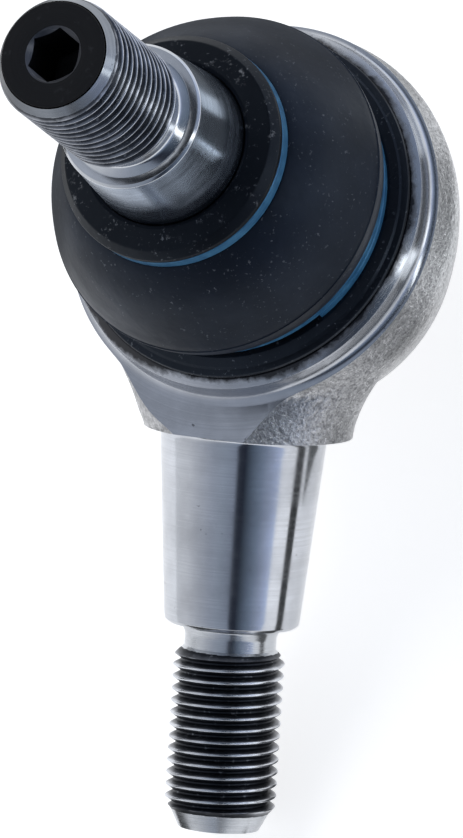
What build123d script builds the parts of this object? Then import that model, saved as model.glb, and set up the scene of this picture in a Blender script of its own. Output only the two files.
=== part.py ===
from build123d import *
from math import cos, radians, sin, sqrt
import os

# Suspension ball joint: a forged housing with a taper shank, and a booted ball stud.
# The origin is the ball's centre. +Z runs along the stud, and the shank leaves
# towards +X, leaning down by SHANK_LEAN. All sizes are in millimetres.

os.makedirs("parts", exist_ok=True)

# Ball and its bearing
BALL_R = 14.0
BALL_PLAY = 0.05
SHELL_R = 16.0
SHELL_TOP_Z = 7.9
SHELL_SPLIT_Z = -0.5
SHELL_BASE_Z = -12.9
SHELL_BASE_R = 14.6

# Ball stud, M16 x 1.5
NECK_R = 7.2
NECK_WAIST_Z = 16.5
TAPER_SMALL_R = 9.2
TAPER_SMALL_Z = 42.1
TAPER_LARGE_Z = 23.0
TAPER_RATIO = 1 / 6
TAPER_CHAMFER = 0.3
STUD_FACE_INNER_R = 7.9
STUD_RELIEF_R = 6.6
STUD_RELIEF_Z = (43.9, 44.8)
STUD_THREAD_R = 7.93
STUD_THREAD_START_Z = 46.0
STUD_THREAD_TURNS = 13
STUD_END_R = 6.65
STUD_END_Z = 66.2
SOCKET_FLATS = 6.0
SOCKET_DEPTH = 8.0
SOCKET_MOUTH_R = 4.2
SOCKET_MOUTH_DEPTH = 1.2
PITCH = 1.5

# Housing, turned about the stud's axis
HEAD_R = 25.05
HEAD_TOP_R = 24.7
ROLLED_EDGE_R = 18.4
BASE_Z = -18.6
# the forging's outside below the rim, as (radius, height) from the base edge up
HEAD_OUTLINE = (
    (19.3, -17.6),
    (21.0, -14.0),
    (22.9, -9.8),
    (24.3, -6.3),
    (HEAD_R, -3.0),
)
RIM_R = 23.6
RIM_CHAMFER = 1.0
RIM_DRAFT = 0.3
SHOULDER_Z = 5.0
FACING_Z = 1.5
COLLAR_R = 17.2
COLLAR_TOP_Z = 9.5
MOUTH_R = 12.6
MOUTH_FLARE = 1.4
CAVITY_R = SHELL_R + 0.05
SEAL_GROOVE_R = (16.75, 17.95)
SEAL_GROOVE_DEPTH = 1.15
SPRING_R = (7.0, 15.2)
SPRING_THICK = 0.9
COVER_R = 18.3
COVER_TOP_Z = -15.2
COVER_THICK = 2.0
COVER_DISH_R = (8.5, 11.0)
COVER_DISH_DEPTH = 1.0
ROLLED_LIP_R = 16.4

# Housing shank, M14 x 1.5, measured from the ball's centre along its own axis
SHANK_LEAN = 22.0
FLANGE_R = 13.1
FLANGE_S = 26.3
FLANGE_FILLET = 0.9
CONE_LARGE_R = 10.3
CONE_START_S = 27.6
CONE_END_S = 50.7
CONE_RATIO = 1 / 6
CONE_CHAMFER = 0.4
SHANK_FACE_INNER_R = 6.9
SHANK_RELIEF_R = 5.7
SHANK_RELIEF_S = (52.1, 53.6)
SHANK_THREAD_R = 6.93
SHANK_THREAD_START_S = 54.6
SHANK_THREAD_TURNS = 13
SHANK_TIP_START = (74.1, 6.1)
SHANK_TIP_R = 5.05
SHANK_END_S = 76.3
SHANK_ROOT = (20.0, 9.0)
# distance along the shank, half width across it, height above and depth below its axis,
# and how far the forging sits to one side of it
NECK_SECTIONS = (
    (6.0, 21.5, 10.4, 9.6, 0.0),
    (14.3, 20.0, 11.0, 10.0, 0.1),
    (18.0, 17.3, 11.6, 10.2, 0.4),
    (22.0, 14.6, 12.3, 11.0, 0.7),
    (FLANGE_S, FLANGE_R - 0.1, FLANGE_R, 11.6, 0.95),
)

# Boot, its rings and its neck insert
BULGE_R = 21.5
BULGE_Z = 13.8
# the boot's outside between its widest line and the upper ring, as (radius, height)
SHOULDER_OUTLINE = ((20.7, 16.6), (19.4, 19.7), (17.9, 22.4), (16.2, 24.5))
FOOT_R = 22.2
FOOT_RING_Z = 6.5
RING_HEIGHT = 2.0
FOOT_RING_R = 19.7
NECK_RING_Z = 26.15
NECK_RING_HEIGHT = 1.9
NECK_RING_R = 14.45
RING_THICK = 0.85
BOOT_TOP_Z = 30.4
BOOT_WALL = 1.8
BOOT_GAP = 0.15
NECK_LIP_R = 12.9
INSERT_Z = (25.2, 28.6)
INSERT_R = 11.75

SHANK_DIRECTION = Vector(cos(radians(SHANK_LEAN)), 0, -sin(radians(SHANK_LEAN)))
SHANK_AXIS = Axis((0, 0, 0), SHANK_DIRECTION)
# across the shank; its sections are drawn on planes offset from here
ACROSS_SHANK = Plane(origin=(0, 0, 0), x_dir=(0, 1, 0), z_dir=SHANK_DIRECTION)
# along the shank; a half section has the distance first and the radius second
ALONG_SHANK = Plane(origin=(0, 0, 0), x_dir=SHANK_DIRECTION, z_dir=(0, -1, 0))


def taper_radius(z):
    """The stud taper's radius at a height."""
    return TAPER_SMALL_R + (TAPER_SMALL_Z - z) * TAPER_RATIO / 2


def sphere_height(radius, from_axis):
    """How high a ball about the origin stands at a distance from the Z axis."""
    return sqrt(radius**2 - from_axis**2)


def sphere_reach(radius, height):
    """How far a ball about the origin reaches from the Z axis at a height."""
    return sqrt(radius**2 - height**2)


def thread_outline(start, crest, turns):
    """60 degree ridges at the thread's pitch, as (distance, radius) corners.

    The turns are closed rings, so that the crest stays a true cylinder.
    """
    root = crest - 0.6134 * PITCH
    flank = 0.354 * PITCH
    flat = 0.125 * PITCH
    corners = [(start - flank, root)]
    for turn in range(turns):
        ridge = start + turn * PITCH
        corners += [(ridge, crest), (ridge + flat, crest)]
        if turn < turns - 1:
            corners += [(ridge + flat + flank, root), (ridge + PITCH - flank, root)]
    return corners


def save(piece, name):
    piece.part.label = name
    export_step(piece.part, f"parts/{name}.step")


# Ball stud: ball, neck, taper, relief and thread in one piece
stud_thread = [
    (radius, height)
    for height, radius in thread_outline(
        STUD_THREAD_START_Z, STUD_THREAD_R, STUD_THREAD_TURNS
    )
]
neck_joint_z = sphere_height(BALL_R, NECK_R)
with BuildPart() as ball_stud:
    with BuildSketch(Plane.XZ):
        with BuildLine():
            CenterArc((0, 0), BALL_R, -90, 90)
            ThreePointArc(
                (BALL_R, 0),
                (sphere_reach(BALL_R, BALL_R / 2), BALL_R / 2),
                (NECK_R, neck_joint_z),
            )
            Spline(
                (NECK_R, neck_joint_z),
                (NECK_R + 0.3, NECK_WAIST_Z),
                (taper_radius(TAPER_LARGE_Z), TAPER_LARGE_Z),
                tangents=((0, 1), (-TAPER_RATIO / 2, 1)),
            )
            Polyline(
                (taper_radius(TAPER_LARGE_Z), TAPER_LARGE_Z),
                (taper_radius(TAPER_SMALL_Z - TAPER_CHAMFER), TAPER_SMALL_Z - TAPER_CHAMFER),
                (TAPER_SMALL_R - TAPER_CHAMFER, TAPER_SMALL_Z),
                (STUD_FACE_INNER_R, TAPER_SMALL_Z),
            )
            ThreePointArc(
                (STUD_FACE_INNER_R, TAPER_SMALL_Z),
                (STUD_RELIEF_R + 0.15, TAPER_SMALL_Z + 0.8),
                (STUD_RELIEF_R, STUD_RELIEF_Z[0]),
            )
            Polyline(
                (STUD_RELIEF_R, STUD_RELIEF_Z[0]),
                (STUD_RELIEF_R, STUD_RELIEF_Z[1]),
                *stud_thread,
                (STUD_END_R, STUD_END_Z),
                (0, STUD_END_Z),
            )
            Line((0, STUD_END_Z), (0, -BALL_R))
        make_face()
    revolve(axis=Axis.Z)
    with BuildSketch(Plane.XY.offset(STUD_END_Z)):
        RegularPolygon(SOCKET_FLATS / 2, 6, major_radius=False)
    extrude(amount=-SOCKET_DEPTH, mode=Mode.SUBTRACT)
    with BuildSketch(Plane.XZ):
        with BuildLine():
            Polyline(
                (0, STUD_END_Z),
                (SOCKET_MOUTH_R, STUD_END_Z),
                (SOCKET_FLATS / 2, STUD_END_Z - SOCKET_MOUTH_DEPTH),
                (0, STUD_END_Z - SOCKET_MOUTH_DEPTH),
                close=True,
            )
        make_face()
    revolve(axis=Axis.Z, mode=Mode.SUBTRACT)
save(ball_stud, "ball_stud")

# Housing: the forged head, its oval neck and the turned shank are one piece
shank_thread = thread_outline(SHANK_THREAD_START_S, SHANK_THREAD_R, SHANK_THREAD_TURNS)
cone_small_r = CONE_LARGE_R - (CONE_END_S - CONE_START_S) * CONE_RATIO / 2
with BuildPart() as housing:
    with BuildSketch(Plane.XZ):
        with BuildLine():
            Polyline(
                (0, BASE_Z),
                (ROLLED_EDGE_R, BASE_Z),
                *HEAD_OUTLINE,
                (HEAD_TOP_R, FACING_Z),
                (RIM_R, FACING_Z),
                (RIM_R - RIM_DRAFT, SHOULDER_Z - RIM_CHAMFER * 0.7),
                (RIM_R - RIM_DRAFT - RIM_CHAMFER, SHOULDER_Z),
                (COLLAR_R, SHOULDER_Z),
                (COLLAR_R, COLLAR_TOP_Z - 0.4),
                (COLLAR_R - 0.4, COLLAR_TOP_Z),
                (0, COLLAR_TOP_Z),
                close=True,
            )
        make_face()
    revolve(axis=Axis.Z)
    for along, half_width, above, below, aside in NECK_SECTIONS:
        with BuildSketch(ACROSS_SHANK.offset(along)):
            with Locations((aside, (above - below) / 2)):
                Ellipse(half_width, (above + below) / 2)
    loft()
    # clearance under the neck for rolling the base edge over the cover
    with BuildSketch(Plane.XY.offset(BASE_Z)):
        Circle(ROLLED_EDGE_R)
    extrude(amount=BASE_Z, mode=Mode.SUBTRACT)
    # the facing cut that squares the neck's top to the rim
    with BuildSketch(Plane.XZ):
        with BuildLine():
            Polyline(
                (RIM_R, FACING_Z),
                (2 * RIM_R, FACING_Z),
                (2 * RIM_R, 2 * SHOULDER_Z),
                (RIM_R - RIM_DRAFT, 2 * SHOULDER_Z),
                (RIM_R - RIM_DRAFT, SHOULDER_Z - RIM_CHAMFER * 0.7),
                close=True,
            )
        make_face()
    revolve(axis=Axis.Z, mode=Mode.SUBTRACT)
    with BuildSketch(ALONG_SHANK):
        with BuildLine():
            Polyline(
                (SHANK_ROOT[0], 0),
                SHANK_ROOT,
                (FLANGE_S, CONE_LARGE_R + FLANGE_FILLET),
            )
            RadiusArc(
                (FLANGE_S, CONE_LARGE_R + FLANGE_FILLET), (CONE_START_S, CONE_LARGE_R), 1.6
            )
            Polyline(
                (CONE_START_S, CONE_LARGE_R),
                (CONE_END_S - CONE_CHAMFER, cone_small_r),
                (CONE_END_S, cone_small_r - CONE_CHAMFER),
                (CONE_END_S, SHANK_FACE_INNER_R),
            )
            ThreePointArc(
                (CONE_END_S, SHANK_FACE_INNER_R),
                (CONE_END_S + 0.45, SHANK_RELIEF_R + 0.35),
                (SHANK_RELIEF_S[0], SHANK_RELIEF_R),
            )
            Polyline(
                (SHANK_RELIEF_S[0], SHANK_RELIEF_R),
                (SHANK_RELIEF_S[1], SHANK_RELIEF_R),
                *shank_thread,
                SHANK_TIP_START,
                (SHANK_END_S, SHANK_TIP_R),
                (SHANK_END_S, 0),
                (SHANK_ROOT[0], 0),
            )
        make_face()
    revolve(axis=SHANK_AXIS)
    # the bore for the bearing, its mouth and the cover's seat
    with BuildSketch(Plane.XZ):
        with BuildLine():
            Polyline(
                (0, BASE_Z - 1),
                (ROLLED_LIP_R, BASE_Z - 1),
                (ROLLED_LIP_R, COVER_TOP_Z - COVER_THICK),
                (COVER_R + 0.1, COVER_TOP_Z - COVER_THICK),
                (COVER_R + 0.1, COVER_TOP_Z),
                (SEAL_GROOVE_R[1], COVER_TOP_Z),
                (SEAL_GROOVE_R[1], COVER_TOP_Z + SEAL_GROOVE_DEPTH),
                (SEAL_GROOVE_R[0], COVER_TOP_Z + SEAL_GROOVE_DEPTH),
                (SEAL_GROOVE_R[0], COVER_TOP_Z),
                (CAVITY_R, COVER_TOP_Z),
                (CAVITY_R, 0),
            )
            ThreePointArc(
                (CAVITY_R, 0),
                (sphere_reach(CAVITY_R, 4.0), 4.0),
                (sphere_reach(CAVITY_R, SHELL_TOP_Z + 0.1), SHELL_TOP_Z + 0.1),
            )
            Polyline(
                (sphere_reach(CAVITY_R, SHELL_TOP_Z + 0.1), SHELL_TOP_Z + 0.1),
                (MOUTH_R, SHELL_TOP_Z + 0.1),
                (MOUTH_R + MOUTH_FLARE, COLLAR_TOP_Z + 0.1),
                (0, COLLAR_TOP_Z + 0.1),
                (0, BASE_Z - 1),
            )
        make_face()
    revolve(axis=Axis.Z, mode=Mode.SUBTRACT)
save(housing, "housing")

# Bearing shells: two plastic halves that wrap the ball
race_r = BALL_R + BALL_PLAY
with BuildPart() as shell_upper:
    with BuildSketch(Plane.XZ):
        with BuildLine():
            Line((sphere_reach(race_r, SHELL_SPLIT_Z), SHELL_SPLIT_Z), (SHELL_R, SHELL_SPLIT_Z))
            Line((SHELL_R, SHELL_SPLIT_Z), (SHELL_R, 0))
            ThreePointArc(
                (SHELL_R, 0),
                (sphere_reach(SHELL_R, 4.0), 4.0),
                (sphere_reach(SHELL_R, SHELL_TOP_Z), SHELL_TOP_Z),
            )
            Line(
                (sphere_reach(SHELL_R, SHELL_TOP_Z), SHELL_TOP_Z),
                (sphere_reach(race_r, SHELL_TOP_Z), SHELL_TOP_Z),
            )
            ThreePointArc(
                (sphere_reach(race_r, SHELL_TOP_Z), SHELL_TOP_Z),
                (sphere_reach(race_r, 4.0), 4.0),
                (sphere_reach(race_r, SHELL_SPLIT_Z), SHELL_SPLIT_Z),
            )
        make_face()
    revolve(axis=Axis.Z)
save(shell_upper, "shell_upper")

lower_split_z = SHELL_SPLIT_Z - 0.3
with BuildPart() as shell_lower:
    with BuildSketch(Plane.XZ):
        with BuildLine():
            ThreePointArc(
                (sphere_reach(race_r, lower_split_z), lower_split_z),
                (sphere_reach(race_r, -8.0), -8.0),
                (sphere_reach(race_r, SHELL_BASE_Z), SHELL_BASE_Z),
            )
            Polyline(
                (sphere_reach(race_r, SHELL_BASE_Z), SHELL_BASE_Z),
                (SHELL_BASE_R, SHELL_BASE_Z),
                (SHELL_R, SHELL_BASE_Z + 1.4),
                (SHELL_R, lower_split_z),
                (sphere_reach(race_r, lower_split_z), lower_split_z),
            )
        make_face()
    revolve(axis=Axis.Z)
save(shell_lower, "shell_lower")

# Preload spring: a disc spring between the lower shell and the cover
with BuildPart() as preload_spring:
    with BuildSketch(Plane.XZ):
        with BuildLine():
            Polyline(
                (SPRING_R[0], SHELL_BASE_Z - 0.1),
                (SPRING_R[0] + 0.4, SHELL_BASE_Z - 0.1 - SPRING_THICK),
                (SPRING_R[1], COVER_TOP_Z + 0.05),
                (SPRING_R[1] - 0.2, COVER_TOP_Z + 0.05 + SPRING_THICK),
                close=True,
            )
        make_face()
    revolve(axis=Axis.Z)
save(preload_spring, "preload_spring")

# Cover plate: a dished steel disc held by the housing's rolled edge
cover_base_z = COVER_TOP_Z - COVER_THICK
with BuildPart() as cover_plate:
    with BuildSketch(Plane.XZ):
        with BuildLine():
            Polyline(
                (0, COVER_TOP_Z - COVER_DISH_DEPTH),
                (COVER_DISH_R[0], COVER_TOP_Z - COVER_DISH_DEPTH),
                (COVER_DISH_R[1], COVER_TOP_Z),
                (COVER_R, COVER_TOP_Z),
                (COVER_R, cover_base_z),
                (COVER_DISH_R[1] + 1.0, cover_base_z),
                (COVER_DISH_R[0] + 1.0, cover_base_z - COVER_DISH_DEPTH),
                (0, cover_base_z - COVER_DISH_DEPTH),
                close=True,
            )
        make_face()
    revolve(axis=Axis.Z)
save(cover_plate, "cover_plate")

# Cover seal: an O-ring in the seat above the cover
with BuildPart() as cover_seal:
    with BuildSketch(Plane.XZ):
        with Locations((sum(SEAL_GROOVE_R) / 2, COVER_TOP_Z + SEAL_GROOVE_DEPTH / 2)):
            Circle(SEAL_GROOVE_DEPTH / 2 - 0.025)
    revolve(axis=Axis.Z)
save(cover_seal, "cover_seal")

# Boot, lower part: the clamped foot and the belly up to the widest line
groove_r = FOOT_RING_R - RING_THICK - 0.1
inside_r = COLLAR_R + BOOT_GAP
foot_z = SHOULDER_Z + BOOT_GAP
with BuildPart() as boot_lower:
    with BuildSketch(Plane.XZ):
        with BuildLine():
            Polyline(
                (inside_r, foot_z),
                (FOOT_R, foot_z),
                (FOOT_R - 0.2, foot_z + 0.5),
                (FOOT_RING_R + 0.2, FOOT_RING_Z - 0.1),
                (groove_r, FOOT_RING_Z - 0.1),
                (groove_r, FOOT_RING_Z + RING_HEIGHT + 0.1),
                (FOOT_RING_R - 0.2, FOOT_RING_Z + RING_HEIGHT + 0.4),
            )
            Spline(
                (FOOT_RING_R - 0.2, FOOT_RING_Z + RING_HEIGHT + 0.4),
                (BULGE_R - 0.65, BULGE_Z - 2.9),
                (BULGE_R, BULGE_Z),
                tangents=((1, 0.6), (0, 1)),
            )
            Line((BULGE_R, BULGE_Z), (BULGE_R - BOOT_WALL, BULGE_Z))
            Spline(
                (BULGE_R - BOOT_WALL, BULGE_Z),
                (BULGE_R - BOOT_WALL - 0.7, BULGE_Z - 2.4),
                (inside_r, COLLAR_TOP_Z + 0.2),
                tangents=((0, -1), (-0.7, -0.7)),
            )
            Line((inside_r, COLLAR_TOP_Z + 0.2), (inside_r, foot_z))
        make_face()
    revolve(axis=Axis.Z)
save(boot_lower, "boot_lower")

# Boot, upper part: the shoulder and the sealing neck on the stud's taper
lip_gap = 0.1
neck_groove_r = NECK_RING_R - RING_THICK
neck_ring_top_z = NECK_RING_Z + NECK_RING_HEIGHT
lower_lip_z = INSERT_Z[0] - 1.0
with BuildPart() as boot_upper:
    with BuildSketch(Plane.XZ):
        with BuildLine():
            Spline(
                (BULGE_R, BULGE_Z),
                *SHOULDER_OUTLINE,
                (NECK_RING_R, NECK_RING_Z - 0.1),
                tangents=((0, 1), (-1, 0.6)),
            )
            Polyline(
                (NECK_RING_R, NECK_RING_Z - 0.1),
                (neck_groove_r, NECK_RING_Z - 0.1),
                (neck_groove_r, neck_ring_top_z),
                (NECK_RING_R - 0.05, neck_ring_top_z),
                (NECK_RING_R - 0.05, neck_ring_top_z + 0.7),
                (NECK_RING_R - 1.0, BOOT_TOP_Z - 0.5),
                (taper_radius(BOOT_TOP_Z) + 0.5, BOOT_TOP_Z),
                (taper_radius(BOOT_TOP_Z) + lip_gap, BOOT_TOP_Z),
                (taper_radius(INSERT_Z[1]) + lip_gap, INSERT_Z[1]),
                (INSERT_R, INSERT_Z[1]),
                (INSERT_R, INSERT_Z[0]),
                (taper_radius(INSERT_Z[0]) + lip_gap, INSERT_Z[0]),
                (taper_radius(lower_lip_z) + lip_gap, lower_lip_z),
                (NECK_LIP_R, lower_lip_z),
            )
            Spline(
                (NECK_LIP_R, lower_lip_z),
                (BULGE_R - BOOT_WALL - 2.7, BULGE_Z + 6.6),
                (BULGE_R - BOOT_WALL, BULGE_Z),
                tangents=((1, -0.45), (0, -1)),
            )
            Line((BULGE_R - BOOT_WALL, BULGE_Z), (BULGE_R, BULGE_Z))
        make_face()
    revolve(axis=Axis.Z)
save(boot_upper, "boot_upper")

# Neck insert: the steel ring inside the boot's neck
with BuildPart() as neck_insert:
    with BuildSketch(Plane.XZ):
        with BuildLine():
            Polyline(
                (taper_radius(INSERT_Z[0]) + 0.06, INSERT_Z[0] + 0.03),
                (INSERT_R - 0.03, INSERT_Z[0] + 0.03),
                (INSERT_R - 0.03, INSERT_Z[1] - 0.03),
                (taper_radius(INSERT_Z[1]) + 0.06, INSERT_Z[1] - 0.03),
                close=True,
            )
        make_face()
    revolve(axis=Axis.Z)
save(neck_insert, "neck_insert")


def clamp_ring(name, base_z, outer_r, inner_r, height):
    """A flat strip wound into a ring, its turns closed into one section."""
    with BuildPart() as ring:
        with BuildSketch(Plane.XY.offset(base_z)):
            Circle(outer_r)
            Circle(inner_r, mode=Mode.SUBTRACT)
        extrude(amount=height)
    save(ring, name)


clamp_ring("clamp_upper", NECK_RING_Z, NECK_RING_R, neck_groove_r + 0.05, NECK_RING_HEIGHT - 0.05)
clamp_ring("clamp_lower", FOOT_RING_Z, FOOT_RING_R, FOOT_RING_R - RING_THICK, RING_HEIGHT)
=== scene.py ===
from math import acos, cos, pi, radians, sin, sqrt, tan

import bmesh
import bpy
import numpy as np
from mathutils import Matrix, Vector


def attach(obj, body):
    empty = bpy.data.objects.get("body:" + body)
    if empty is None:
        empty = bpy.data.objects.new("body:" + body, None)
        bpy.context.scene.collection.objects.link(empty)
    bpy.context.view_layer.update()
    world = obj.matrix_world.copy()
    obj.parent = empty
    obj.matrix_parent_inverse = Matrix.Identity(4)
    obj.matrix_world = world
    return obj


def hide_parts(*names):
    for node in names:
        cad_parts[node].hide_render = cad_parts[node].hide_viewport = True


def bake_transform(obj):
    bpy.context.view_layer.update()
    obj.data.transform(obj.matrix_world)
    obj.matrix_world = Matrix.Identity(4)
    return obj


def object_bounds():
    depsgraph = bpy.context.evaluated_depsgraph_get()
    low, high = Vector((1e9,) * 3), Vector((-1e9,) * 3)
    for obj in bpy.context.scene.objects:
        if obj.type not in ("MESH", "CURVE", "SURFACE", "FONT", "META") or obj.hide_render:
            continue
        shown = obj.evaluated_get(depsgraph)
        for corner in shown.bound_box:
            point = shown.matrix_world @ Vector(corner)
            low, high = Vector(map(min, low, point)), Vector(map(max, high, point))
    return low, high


# A suspension ball joint. Meshes are drawn in millimetres and scaled to metres.
# The origin is the ball's centre, and +Z runs along the stud.

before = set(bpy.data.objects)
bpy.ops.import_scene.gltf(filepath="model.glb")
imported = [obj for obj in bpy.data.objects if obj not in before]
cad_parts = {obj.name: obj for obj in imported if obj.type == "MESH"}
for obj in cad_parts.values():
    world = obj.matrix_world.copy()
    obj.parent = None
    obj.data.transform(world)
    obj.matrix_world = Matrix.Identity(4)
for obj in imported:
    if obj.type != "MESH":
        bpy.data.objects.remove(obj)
cad_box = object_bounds()

MM = 0.001
COLUMNS = 180

# Ball stud
BALL_R = 14.0
NECK_R = 7.2
NECK_SLIMMER = 0.3
NECK_START = 60.4
TAPER_SMALL_R = 9.2
TAPER_SMALL_Z = 42.1
TAPER_LARGE_Z = 23.0
TAPER_RATIO = 1 / 6
STUD_RELIEF_R = 6.6
STUD_RELIEF_Z = 44.8
STUD_THREAD_R = 7.93
STUD_THREAD_Z = 46.0
STUD_CREST_Z = 64.2
STUD_END_R = 6.65
STUD_END_Z = 66.2
SOCKET_FLATS = 6.0
SOCKET_DEPTH = 8.0
SOCKET_MOUTH_R = 3.65
PITCH = 1.5

# Housing, turned about the stud's axis
HEAD_R = 25.05
HEAD_TOP_R = 24.45
BASE_Z = -18.6
ROLLED_EDGE_R = 18.4
# the forging's outside below the rim, as (radius, height) from the base edge up
HEAD_OUTLINE = ((19.3, -17.6), (21.0, -14.0), (22.9, -9.8), (24.3, -6.3), (HEAD_R, -3.0))
RIM_R = 23.6
RIM_FILLET = 1.35
RIM_SEAM_Z = 4.0
FACING_Z = 1.5
SHOULDER_Z = 5.0
COLLAR_R = 17.2
COLLAR_TOP_Z = 9.5
MOUTH_R = 12.6
CAVITY_R = 16.05
COVER_R = 18.3
COVER_TOP_Z = -15.2
COVER_THICK = 2.0
ROLLED_LIP_R = 16.4

# Housing shank, measured from the ball's centre along its own axis
SHANK_LEAN = radians(22.0)
FLANGE_R = 13.1
FLANGE_S = 26.3
FLANGE_FILLET = 0.9
CONE_LARGE_R = 10.3
CONE_START_S = 27.6
CONE_END_S = 50.7
CONE_RATIO = 1 / 6
RELIEF_END_S = 53.6
SHANK_RELIEF_R = 5.7
SHANK_THREAD_R = 6.93
SHANK_THREAD_S = 54.6
SHANK_CREST_S = 73.2
SHANK_TIP_START = (74.1, 6.15)
SHANK_TIP_R = 5.05
SHANK_END_S = 76.3
# distance along the shank, half width across it, height above and depth below its axis,
# and how far the forging sits to one side of it
NECK_SECTIONS = (
    (6.0, 21.5, 10.4, 9.6, 0.0),
    (14.3, 20.0, 11.0, 10.0, 0.1),
    (18.0, 17.3, 11.6, 10.2, 0.4),
    (22.0, 14.6, 12.3, 11.0, 0.7),
    (FLANGE_S, FLANGE_R - 0.1, FLANGE_R, 11.6, 0.95),
)
# on its far upper side the neck is squarer: distances along the shank, the oval's power there
# (1 is a plain oval), and how much narrower that side is
SQUARE_SIDE = (
    (16.0, 20.0, 22.6, 24.7, FLANGE_S),
    (0.5, 0.5, 0.55, 0.72, 1.0),
    (0.9, 0.9, 0.91, 0.96, 1.0),
)

# Boot and rings
BULGE_R = 21.5
BULGE_Z = 13.8
BELLY_LOW = (20.9, 10.9)
SHOULDER_OUTLINE = ((20.7, 16.6), (19.4, 19.7), (17.9, 22.4), (16.2, 24.5))
FOOT_R = 22.2
FOOT_RING_Z = 6.5
FOOT_RING_R = 19.7
RING_HEIGHT = 2.0
RING_THICK = 0.85
NECK_RING_Z = 26.15
NECK_RING_R = 14.45
NECK_RING_HEIGHT = 1.9
BOOT_TOP_Z = 30.4
LINING_R = BULGE_R - 1.8
BOOT_GAP = 0.15
INSERT_Z = (25.2, 28.6)
INSERT_R = 11.75

# The shank's own frame: local Z runs along it, local Y lies across it
SHANK_TURN = pi / 2 + SHANK_LEAN
SHANK_FRAME = Matrix((
    (-sin(SHANK_LEAN), 0, cos(SHANK_LEAN), 0),
    (0, 1, 0, 0),
    (-cos(SHANK_LEAN), 0, -sin(SHANK_LEAN), 0),
    (0, 0, 0, 1),
))

# Camera
TOWARD_CAMERA = Vector((0.2129, 0.4157, 0.8842)).normalized()
CAMERA_UP = Vector((-0.9522, -0.1148, 0.2833))
CAMERA_DISTANCE = 1800.0
CAMERA_ASIDE = 3.264
CAMERA_RAISE = 24.811
CAMERA_LENS = 626.4
SENSOR = 36.0


# ---------------------------------------------------------------- mesh helpers

def rounded(corners, steps=5):
    """A line through (radius, height) corners; a third number rounds that corner."""
    line = [tuple(corners[0][:2])]
    for before, corner, after in zip(corners, corners[1:], corners[2:]):
        point = np.array(corner[:2], float)
        if len(corner) < 3:
            line.append(tuple(point))
            continue
        back = np.array(before[:2], float) - point
        on = np.array(after[:2], float) - point
        reach = min(np.linalg.norm(back), np.linalg.norm(on))
        back /= np.linalg.norm(back)
        on /= np.linalg.norm(on)
        half = acos(float(np.clip(back @ on, -1, 1))) / 2
        cut = min(corner[2] / tan(half), 0.48 * reach)
        for t in np.linspace(0, 1, steps + 1):
            spot = point + back * cut * (1 - t) ** 2 + on * cut * t**2
            line.append(tuple(spot))
    line.append(tuple(corners[-1][:2]))
    return line


def curve_through(points, steps=8):
    """A smooth line through (radius, height) points."""
    spots = np.array(points, float)
    spots = np.vstack([2 * spots[0] - spots[1], spots, 2 * spots[-1] - spots[-2]])
    line = []
    for a, b, c, d in zip(spots, spots[1:], spots[2:], spots[3:]):
        for t in np.linspace(0, 1, steps, endpoint=False):
            line.append(tuple(
                0.5 * (2 * b + (c - a) * t + (2 * a - 5 * b + 4 * c - d) * t**2
                       + (3 * b - a - 3 * c + d) * t**3)
            ))
    line.append(tuple(spots[-2]))
    return line


def arc(radius, start, end, steps):
    """Points of a circle about the origin, between two angles in degrees from the radius axis."""
    return [
        (radius * cos(radians(a)), radius * sin(radians(a)))
        for a in np.linspace(start, end, steps)
    ]


def bands(rings, count, closed=False):
    """Faces between neighbouring rings of count points; closed joins the last to the first."""
    faces = []
    for k in range(rings if closed else rings - 1):
        low = k * count
        high = (k + 1) % rings * count
        for i in range(count):
            j = (i + 1) % count
            faces.append((low + i, low + j, high + j, high + i))
    return faces


def spin(rows, closed=False, columns=COLUMNS):
    """Vertices and faces of rows turned about Z; a row is a (radius, height), or arrays of them."""
    angles = np.arange(columns) * 2 * pi / columns
    vertices = []
    for radius, height in rows:
        radius = np.broadcast_to(radius, columns)
        height = np.broadcast_to(height, columns)
        vertices.append(np.column_stack([radius * np.cos(angles), radius * np.sin(angles), height]))
    return np.concatenate(vertices), bands(len(rows), columns, closed)


def thread(start, end, crest, envelope, fade, columns=COLUMNS, samples=24):
    """Vertices and faces of a right hand helical thread between two heights.

    envelope gives the most radius at a height, for the run-out and the chamfer, and the
    grooves grow shallow between the two heights of fade. Widths are shares of the pitch.
    """
    depth = 0.6134 * PITCH
    flat = 0.125
    flank = 0.354
    half_blur = 12
    fine = np.linspace(-0.5, 0.5, 241)
    shape = np.clip((flat / 2 + flank - abs(fine)) / flank, 0, 1)
    wrapped = np.concatenate([shape[-1 - half_blur:-1], shape, shape[1:1 + half_blur]])
    blur = np.ones(2 * half_blur + 1)
    soft = np.convolve(wrapped, blur / len(blur), "valid")
    step = PITCH / samples
    rows = int((end - start) / step) + 2 * samples
    total = rows + samples
    vertices = []
    for i in range(columns):
        lift = start - PITCH + PITCH * i / columns
        steps = np.arange(total)
        height = np.clip(lift + steps * step, start, end)
        phase = (steps / samples + 0.5) % 1.0 - 0.5
        deep = depth * np.interp(height, fade, (1, 0))
        radius = crest - deep * (1 - np.interp(phase, fine, soft))
        radius = np.minimum(radius, envelope(height))
        angle = 2 * pi * i / columns
        vertices.append(np.column_stack([radius * cos(angle), radius * sin(angle), height]))
    faces = []
    for i in range(columns):
        j = (i + 1) % columns
        shift = samples if j == 0 else 0
        for k in range(total - shift - 1):
            a = i * total + k
            b = j * total + k + shift
            faces.append((a, b, b + 1, a + 1))
    return np.concatenate(vertices), faces


def joined(*parts):
    """Several vertices and faces as one."""
    vertices = np.concatenate([part[0] for part in parts])
    faces = []
    offset = 0
    for points, sides in parts:
        faces += [tuple(v + offset for v in side) for side in sides]
        offset += len(points)
    return vertices, faces


def placed(name, data):
    """A new object in the scene with the data."""
    made = bpy.data.objects.new(name, data)
    bpy.context.scene.collection.objects.link(made)
    return made


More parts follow.
